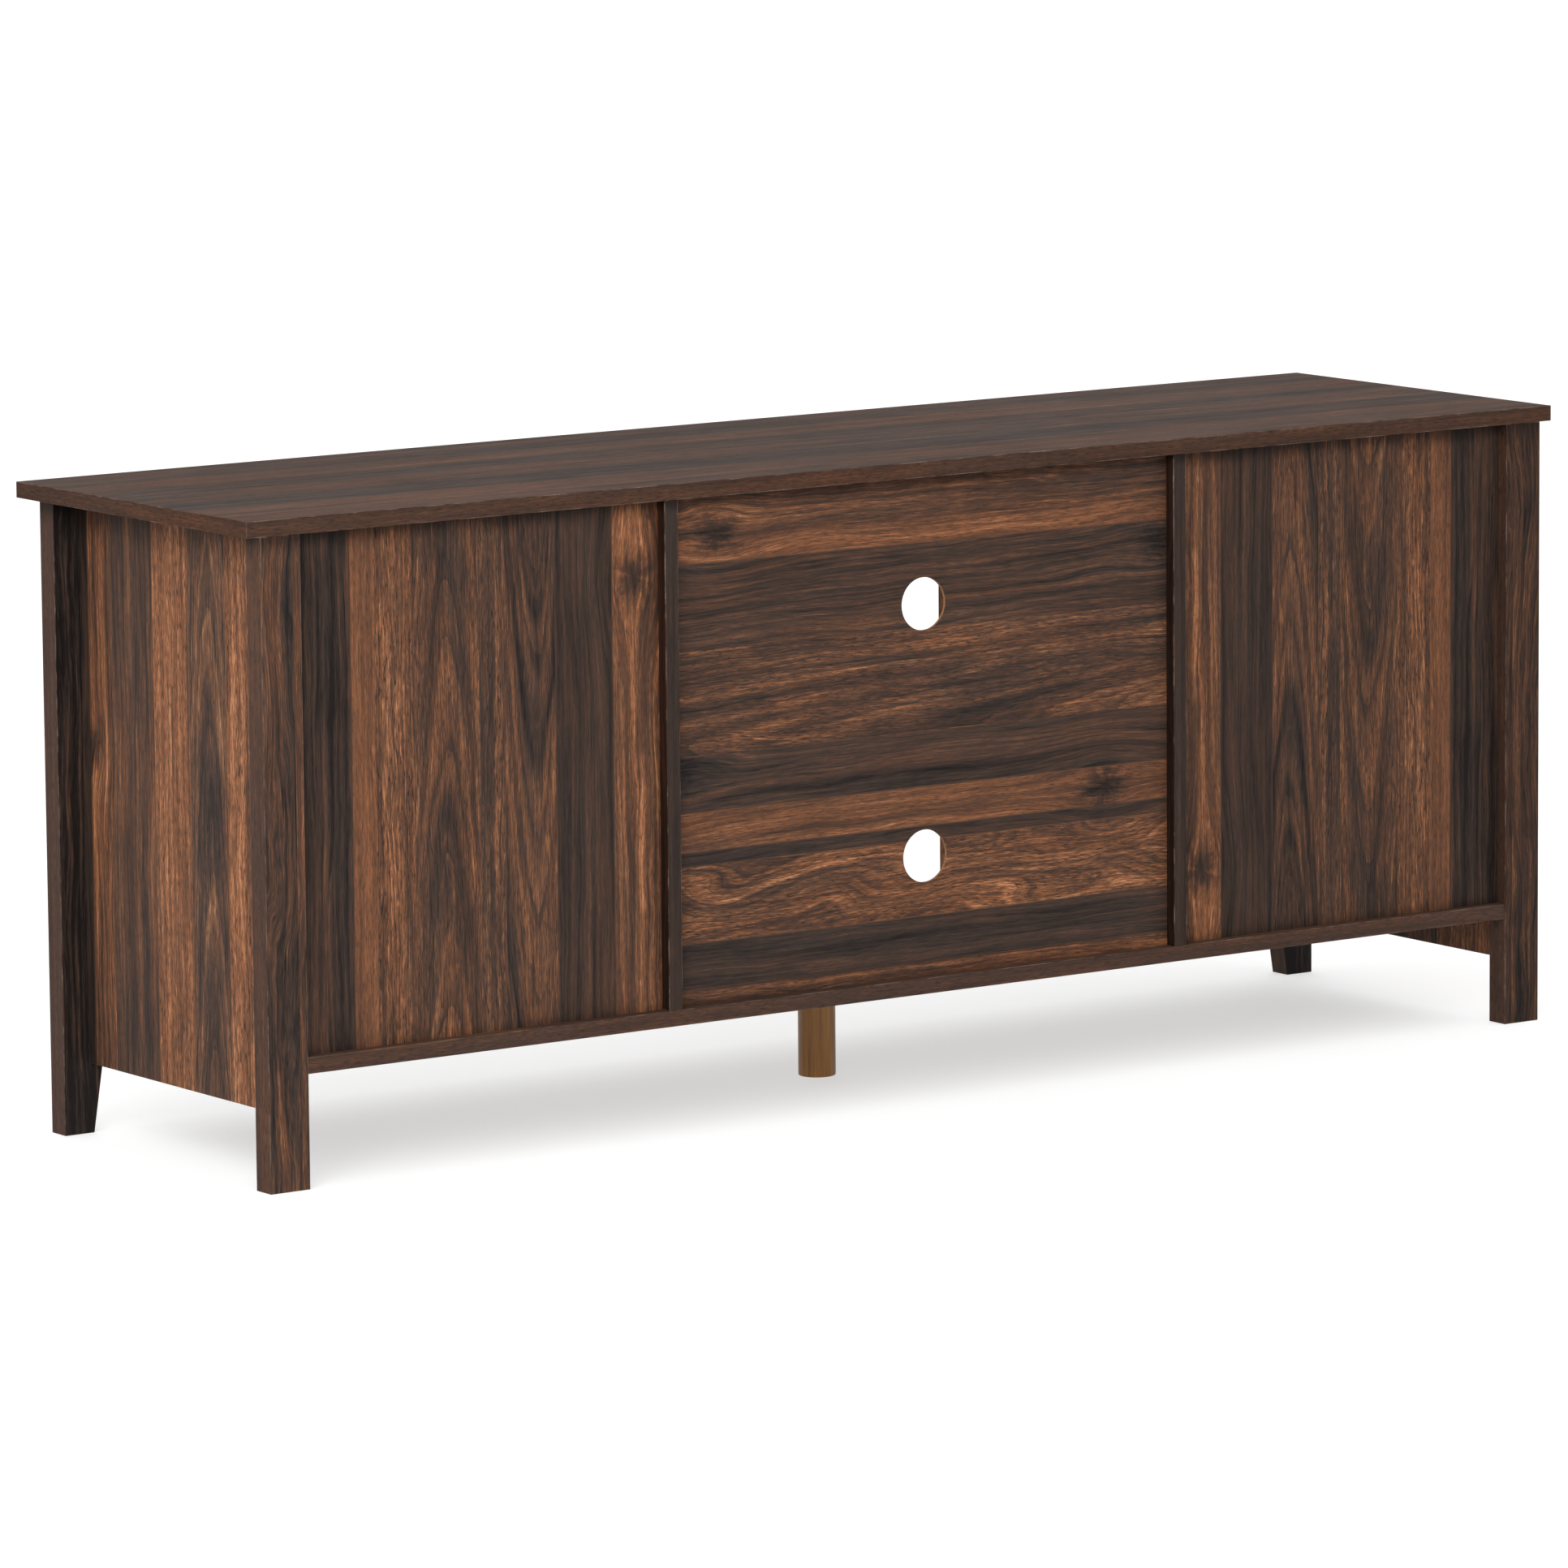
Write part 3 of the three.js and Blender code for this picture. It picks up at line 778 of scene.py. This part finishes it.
def screw_mesh(radius, rise, depth):
    """A domed head with a cross recess, facing +Z, its flat underside at z = 0."""
    steps = 6
    profile = [(0, 0), (radius * 0.96, 0)]
    for step in range(steps):
        angle = math.pi / 2 * step / steps
        profile.append((radius * math.cos(angle), rise * (0.12 + 0.88 * math.sin(angle))))
    profile.append((0, rise))
    head = bmesh.new()
    turn_profile(head, profile, (0, 0, 0), (0, 0, 1), 40)
    bmesh.ops.recalc_face_normals(head, faces=head.faces)
    half = radius * 0.13
    arm = radius * 0.58
    outline = []
    for x, y in ((half, half), (-half, half), (-half, -half), (half, -half)):
        first = (math.copysign(arm, x), y)
        second = (x, math.copysign(arm, y))
        outline += [first, (x, y), second] if x * y > 0 else [second, (x, y), first]
    cutter = bmesh.new()
    face = cutter.faces.new([cutter.verts.new((x, y, rise - depth)) for x, y in outline])
    grown = bmesh.ops.extrude_face_region(cutter, geom=[face])
    for item in grown["geom"]:
        if isinstance(item, bmesh.types.BMVert):
            item.co = Vector((item.co.x * 1.25, item.co.y * 1.25, rise + 0.001))
    bmesh.ops.recalc_face_normals(cutter, faces=cutter.faces)
    pair = []
    for title, shell in (("head", head), ("cutter", cutter)):
        mesh = bpy.data.meshes.new(title)
        shell.to_mesh(mesh)
        shell.free()
        pair.append(bpy.data.objects.new(title, mesh))
        scene.collection.objects.link(pair[-1])
    cut = pair[0].modifiers.new("recess", "BOOLEAN")
    cut.operation = "DIFFERENCE"
    cut.solver = "EXACT"
    cut.object = pair[1]
    depsgraph = bpy.context.evaluated_depsgraph_get()
    result = bpy.data.meshes.new_from_object(pair[0].evaluated_get(depsgraph))
    for obj in pair:
        mesh = obj.data
        bpy.data.objects.remove(obj)
        bpy.data.meshes.remove(mesh)
    return result


def add_screw(builder, mesh, place, axis):
    """Adds a copy of a screw head that looks along the axis."""
    axis = Vector(axis).normalized()
    first, second = axis_frame(axis)
    turn = Matrix((first, second, axis)).transposed().to_4x4()
    copy = mesh.copy()
    copy.transform(Matrix.Translation(place) @ turn)
    builder.from_mesh(copy)
    bpy.data.meshes.remove(copy)


def finish_piece(builder, name, material, body, slot, *replaced):
    """Turns the gathered shells into a piece that rides on a body and stands for CAD nodes."""
    bmesh.ops.recalc_face_normals(builder, faces=builder.faces)
    mesh = bpy.data.meshes.new(name)
    builder.to_mesh(mesh)
    builder.free()
    mesh.shade_smooth()
    mesh.set_sharp_from_angle(angle=math.radians(32))
    piece = bpy.data.objects.new(name, mesh)
    scene.collection.objects.link(piece)
    mesh.materials.append(material)
    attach(piece, body)
    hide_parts(*replaced)


def middle_of(node):
    low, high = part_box(node)
    return (low + high) / 2


def make_handle(side, material):
    """A round bar on two posts that flare a little where they meet the door and the bar."""
    name = f"handle_{side}"
    low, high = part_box(name)
    bar_radius = 5 * MM
    x = (low.x + high.x) / 2
    bar_y = low.y + bar_radius
    builder = bmesh.new()
    turn_profile(builder, rod_profile(bar_radius, 0, high.z - low.z, 1.1 * MM),
                 (x, bar_y, low.z), (0, 0, 1), 64)
    reach = high.y - bar_y
    post = (
        (0, 0), (4.0 * MM, 0), (4.0 * MM, reach * 0.30), (4.1 * MM, reach * 0.55),
        (4.3 * MM, reach * 0.80), (4.5 * MM, reach - 0.6 * MM), (4.5 * MM, reach - 0.2 * MM),
        (4.3 * MM, reach), (0, reach),
    )
    for place in ("lower", "upper"):
        z = middle_of(f"handle_screw_{side}_{place}").z
        turn_profile(builder, post, (x, bar_y, z), (0, 1, 0), 48)
    finish_piece(builder, f"bar_handle_{side}", material, f"door_{side}", "black_metal", name)


HANDLE_HEAD_RISE = 2.2 * MM


def make_handle_screw(side, place, material, head):
    """A shaft through the door under a domed head with a cross recess."""
    name = f"handle_screw_{side}_{place}"
    low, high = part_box(name)
    middle = middle_of(name)
    head_rise = HANDLE_HEAD_RISE
    builder = bmesh.new()
    length = high.y - head_rise - low.y
    turn_profile(builder, rod_profile(1.9 * MM, 0, length + 0.4 * MM, 0.3 * MM),
                 (middle.x, low.y, middle.z), (0, 1, 0), 32)
    add_screw(builder, head, (middle.x, high.y - head_rise, middle.z), (0, 1, 0))
    finish_piece(builder, f"cross_screw_{side}_{place}", material, f"door_{side}",
                 "bright_steel", name)


def make_hinge(side, sign, place, material, head):
    """Two screwed leaves in the gap beside the door, with three barrels on a capped pin."""
    frame_name = f"hinge_frame_leaf_{side}_{place}"
    door_name = f"hinge_door_leaf_{side}_{place}"
    pin_name = f"hinge_pin_{side}_{place}"
    pin_low, pin_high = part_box(pin_name)
    axis_x = (pin_low.x + pin_high.x) / 2
    axis_y = (pin_low.y + pin_high.y) / 2
    thick = 1.0 * MM
    barrel = 2.6 * MM
    pin_radius = 1.2 * MM
    bore = pin_radius + 0.1 * MM
    gap = 0.3 * MM
    plate_start = 3 * MM
    cap_rise = 0.8 * MM
    frame_low, frame_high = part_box(frame_name)
    length = (frame_high.z - frame_low.z - 2 * gap) / 3
    for name, title, body, knuckles, inner in (
        (frame_name, "frame", "carcass", (0, 2), -sign),
        (door_name, "door", f"door_{side}", (1,), sign),
    ):
        low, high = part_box(name)
        # The plate is at the box's outer side on the frame, and at its inner side on the door.
        on_high = inner < 0
        plate_low = Vector((high.x - thick if on_high else low.x, axis_y + plate_start,
                            frame_low.z))
        plate_high = Vector((high.x if on_high else low.x + thick, high.y, frame_high.z))
        builder = bmesh.new()
        add_plate(builder, plate_low, plate_high, 0.2 * MM)
        for knuckle in knuckles:
            start = frame_low.z + knuckle * (length + gap)
            add_plate(builder, (plate_low.x, axis_y, start),
                      (plate_high.x, plate_low.y + MM, start + length), 0.12 * MM)
            turn_profile(builder, tube_profile(barrel, bore, length, 0.35 * MM),
                         (axis_x, axis_y, start), (0, 0, 1), 40, bored=True)
        face_x = plate_low.x if on_high else plate_high.x
        for share in (0.18, 0.5, 0.82):
            z = plate_low.z + (plate_high.z - plate_low.z) * share
            y = plate_low.y + (0.36 if share == 0.5 else 0.62) * (plate_high.y - plate_low.y)
            add_screw(builder, head, (face_x - inner * 0.45 * MM, y, z), (inner, 0, 0))
        finish_piece(builder, f"hinge_{title}_{side}_{place}", material, body, "hinge_steel", name)
    builder = bmesh.new()
    shaft = pin_high.z - cap_rise - pin_low.z
    turn_profile(builder, (
        (0, 0), (0.9 * MM, 0), (pin_radius, 0.3 * MM), (pin_radius, shaft), (1.9 * MM, shaft),
        (2.1 * MM, shaft + 0.2 * MM), (2.0 * MM, shaft + 0.45 * MM),
        (1.4 * MM, shaft + 0.72 * MM), (0, shaft + cap_rise),
    ), (axis_x, axis_y, pin_low.z), (0, 0, 1), 32)
    finish_piece(builder, f"hinge_capped_pin_{side}_{place}", material, "carcass", "hinge_steel",
                 pin_name)


def make_catch(side, plastic, steel, head):
    """A magnet between two steel pole strips in a plastic housing with screwed ears."""
    name = f"magnet_catch_{side}"
    low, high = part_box(name)
    ear = 6 * MM
    builder = bmesh.new()
    body_low = Vector((low.x + ear, low.y + 0.4 * MM, low.z))
    body_high = Vector((high.x - ear, high.y, high.z))
    add_plate(builder, body_low, body_high, 0.8 * MM)
    add_plate(builder, (low.x, low.y + 3 * MM, high.z - 2.6 * MM),
              (high.x, high.y - 2 * MM, high.z), 0.5 * MM)
    finish_piece(builder, f"catch_housing_{side}", plastic, "carcass", "catch_plastic", name)
    builder = bmesh.new()
    for share in (0.32, 0.68):
        z = low.z + (high.z - low.z) * share
        add_plate(builder, (body_low.x + 2.5 * MM, low.y, z - 0.9 * MM),
                  (body_high.x - 2.5 * MM, low.y + 6 * MM, z + 0.9 * MM), 0.2 * MM)
    for x in (low.x + ear / 2, high.x - ear / 2):
        add_screw(builder, head, (x, (low.y + high.y) / 2, high.z - 2.3 * MM), (0, 0, -1))
    finish_piece(builder, f"catch_poles_{side}", steel, "carcass", "bright_steel", name)


def make_middle_leg(material):
    """A turned leg with eased rims."""
    low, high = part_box("centre_leg")
    radius = (high.x - low.x) / 2
    centre = middle_of("centre_leg")
    height = high.z - low.z
    ease = 1.4 * MM
    profile = [(0, 0)]
    for step in range(6):
        angle = math.pi / 2 * step / 5
        profile.append((radius - ease + ease * math.sin(angle), ease - ease * math.cos(angle)))
    profile += [(radius, height * share) for share in (0.25, 0.5, 0.75)]
    profile += [(radius, height - 0.4 * MM), (radius - 0.4 * MM, height), (0, height)]
    builder = bmesh.new()
    turn_profile(builder, profile, (centre.x, centre.y, low.z), (0, 0, 1), 96)
    finish_piece(builder, "turned_middle_leg", material, "carcass", "golden_wood", "centre_leg")


def dress_hardware():
    steel = metal("zinc_steel", linear(186, 188, 190), roughness=0.26, metallic=1.0, spread=0.3,
                  bump=0.00003)
    dark = metal("dark_plated_steel", linear(72, 66, 61), roughness=0.32, metallic=1.0,
                 spread=0.3, bump=0.00003)
    black = metal("black_powder_coat", linear(30, 30, 31), roughness=0.42, metallic=0.0,
                  spread=0.3, bump=0.00006)
    plastic = metal("catch_plastic", linear(52, 46, 42), roughness=0.5, metallic=0.0,
                    spread=0.2, bump=0.00005)
    make_middle_leg(golden_wood())
    handle_head = screw_mesh(4.0 * MM, HANDLE_HEAD_RISE, 1.5 * MM)
    hinge_head = screw_mesh(2.3 * MM, 0.55 * MM, 0.4 * MM)
    catch_head = screw_mesh(2.2 * MM, 1.0 * MM, 0.6 * MM)
    for side, sign in SIDES:
        make_handle(side, black)
        make_catch(side, plastic, steel, catch_head)
        for place in ("lower", "upper"):
            make_handle_screw(side, place, steel, handle_head)
            make_hinge(side, sign, place, dark, hinge_head)
    for mesh in (handle_head, hinge_head, catch_head):
        bpy.data.meshes.remove(mesh)
    for name, obj in nodes.items():
        if name.startswith(("shelf_pin", "strike_plate", "centre_leg_bolt")):
            assign(obj, steel)
            soften(obj, 0.3 * MM)


# ---------------------------------------------------------------------------------------------
# Camera, lights and floor
# ---------------------------------------------------------------------------------------------

# How bright the surroundings are as a light, apart from how the camera sees them.
AMBIENT = 0.15
# The floor is a lit white table, so that shadows under the piece stay faint.
FLOOR_GLOW = 0.56
FLOOR_HALF_WIDTH = 60.0

# Where the camera stands, in degrees and metres, and the point it looks at.
AZIMUTH = 144.863
ELEVATION = 8.514
ROLL = -0.483
DISTANCE = 8.852
MIDDLE_BEHIND = 0.004
MIDDLE_HEIGHT = 0.3
AIM_LEFT = 0.02396
AIM_DOWN = 0.01957
LENS = 213.15
SENSOR_WIDTH = 36.0


def add_camera():
    """A long lens from behind the right-hand end, a little above the top, turned to match."""
    azimuth, elevation, roll = (math.radians(a) for a in (AZIMUTH, ELEVATION, ROLL))
    back = Vector((math.sin(azimuth) * math.cos(elevation),
                   -math.cos(azimuth) * math.cos(elevation), math.sin(elevation)))
    level_right = (-back).cross(Vector((0, 0, 1))).normalized()
    level_up = level_right.cross(-back)
    right = level_right * math.cos(roll) + level_up * math.sin(roll)
    up = level_up * math.cos(roll) - level_right * math.sin(roll)
    middle_y = (cad_box[0][1] + cad_box[1][1]) / 2 + MIDDLE_BEHIND
    aim = Vector((0, middle_y, MIDDLE_HEIGHT)) - right * AIM_LEFT - up * AIM_DOWN
    data = bpy.data.cameras.new("camera")
    data.sensor_width = SENSOR_WIDTH
    data.lens = LENS
    data.clip_end = 100.0
    camera = bpy.data.objects.new("camera", data)
    scene.collection.objects.link(camera)
    camera.matrix_world = Matrix((
        (right.x, up.x, back.x, 0),
        (right.y, up.y, back.y, 0),
        (right.z, up.z, back.z, 0),
        (0, 0, 0, 1),
    ))
    camera.location = aim + back * DISTANCE
    scene.camera = camera


def add_softbox(name, place, target, width, height, power):
    data = bpy.data.lights.new(name, "AREA")
    data.shape = "RECTANGLE"
    data.size = width
    data.size_y = height
    data.energy = power
    light = bpy.data.objects.new(name, data)
    scene.collection.objects.link(light)
    light.location = place
    light.rotation_euler = (Vector(target) - Vector(place)).to_track_quat("-Z", "Y").to_euler()


def add_sun(name, direction, strength, spread):
    """A soft light from far away, whose light comes from the given direction."""
    data = bpy.data.lights.new(name, "SUN")
    data.energy = strength
    data.angle = math.radians(spread)
    light = bpy.data.objects.new(name, data)
    scene.collection.objects.link(light)
    light.location = Vector(direction).normalized() * 6.0
    light.rotation_euler = (-Vector(direction)).to_track_quat("-Z", "Y").to_euler()


def add_world():
    """White to the camera, and a much fainter light for everything else."""
    world = bpy.data.worlds.new("studio")
    scene.world = world
    world.use_nodes = True
    tree = world.node_tree
    background = tree.nodes["Background"]
    path = tree.nodes.new("ShaderNodeLightPath")
    seen = Wire(tree, path.outputs["Is Camera Ray"])
    strength = constant(tree, AMBIENT).choose(1.0, seen)
    background.inputs[0].default_value = (1.0, 1.0, 1.0, 1.0)
    tree.links.new(strength.socket, background.inputs[1])


def add_lights():
    add_sun("overhead", (0.0, 0.15, 1.0), strength=2.1, spread=120)
    add_sun("key", (1.0, 0.7, 0.9), strength=0.85, spread=40)
    add_sun("front", (-0.5, -1.0, 0.6), strength=0.9, spread=60)
    add_softbox("window", (2.3, 2.1, 1.3), (0.2, 0.2, 0.3), width=1.6, height=1.4, power=34)


def add_floor():
    mesh = bpy.data.meshes.new("floor")
    builder = bmesh.new()
    bmesh.ops.create_grid(builder, x_segments=1, y_segments=1, size=FLOOR_HALF_WIDTH)
    builder.to_mesh(mesh)
    builder.free()
    floor = bpy.data.objects.new("floor", mesh)
    scene.collection.objects.link(floor)
    material, tree = new_material("pale_floor")
    place, _ = coordinates(tree)
    mottle = noise(tree, vector(tree, *place), 3.0, 3.0, 0.5)
    colour, _ = ramp(tree, mottle, (
        (0.2, (0.54, 0.54, 0.54, 1.0)),
        (0.8, (0.58, 0.58, 0.58, 1.0)),
    ))
    shader = surface(tree, colour, 0.9, Specular_IOR_Level=0.05)
    shader.inputs["Emission Color"].default_value = (1.0, 1.0, 1.0, 1.0)
    shader.inputs["Emission Strength"].default_value = FLOOR_GLOW
    floor.data.materials.append(material)


def main():
    scene.view_settings.view_transform = "Standard"
    add_camera()
    add_world()
    add_lights()
    add_floor()
    dress_boards()
    dress_hardware()


main()
